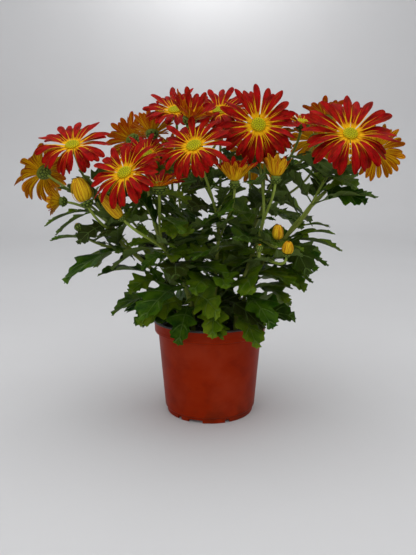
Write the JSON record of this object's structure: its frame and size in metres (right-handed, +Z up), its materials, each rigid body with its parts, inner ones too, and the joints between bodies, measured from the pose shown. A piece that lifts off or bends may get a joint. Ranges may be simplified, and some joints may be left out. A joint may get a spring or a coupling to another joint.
{
  "type": "pot chrysanthemum",
  "caption": "Daisy-flowered pot chrysanthemum: leafy branching stems with red and yellow blooms and buds, in a tapered terracotta-coloured plastic pot.",
  "frame": {"origin": "middle of the pot's foot ring, on the surface that it stands on", "axes": "+Z up along the pot's axis, +X to the right along the plant's widest spread, -Y towards the viewer of the picture"},
  "size_m": [0.3849, 0.2153, 0.3339],
  "materials": {
    "pot": "satin",
    "growing_medium": "matte",
    "foliage": "matte",
    "petals": "satin",
    "florets": "matte",
    "half_open_petals": "satin",
    "buds": "matte"
  },
  "bodies": {
    "root": {"pot": "pot", "growing_medium": "growing_medium", "stem_1": "foliage", "stem_2": "foliage", "stem_3": "foliage", "stem_4": "foliage", "stem_5": "foliage", "stem_6": "foliage", "stem_7": "foliage", "bloom_01_rays": "petals", "bloom_01_disc": "florets", "bloom_02_rays": "petals", "bloom_02_disc": "florets", "bloom_03_rays": "petals", "bloom_03_disc": "florets", "bloom_04_rays": "petals", "bloom_04_disc": "florets", "bloom_05_rays": "petals", "bloom_05_disc": "florets", "bloom_06_rays": "petals", "bloom_06_disc": "florets", "bloom_07_rays": "petals", "bloom_07_disc": "florets", "bloom_08_rays": "petals", "bloom_08_disc": "florets", "bloom_09_rays": "petals", "bloom_09_disc": "florets", "bloom_10_rays": "petals", "bloom_10_disc": "florets", "bloom_11_rays": "petals", "bloom_11_disc": "florets", "bloom_12_rays": "petals", "bloom_12_disc": "florets", "bloom_13_rays": "petals", "bloom_13_disc": "florets", "bloom_14_rays": "petals", "bloom_14_disc": "florets", "bloom_15_rays": "petals", "bloom_15_disc": "florets", "bloom_16_rays": "petals", "bloom_16_disc": "florets", "bloom_17_rays": "petals", "bloom_17_disc": "florets", "bloom_18_rays": "petals", "bloom_18_disc": "florets", "bloom_19_rays": "petals", "bloom_19_disc": "florets", "bloom_20_rays": "petals", "bloom_20_disc": "florets", "bloom_21_rays": "petals", "bloom_21_disc": "florets", "half_open_01": "half_open_petals", "half_open_02": "half_open_petals", "half_open_03": "half_open_petals", "bud_01": "buds", "bud_02": "buds", "bud_03": "buds", "bud_04": "buds", "bud_05": "buds"}
  },
  "joints": []
}
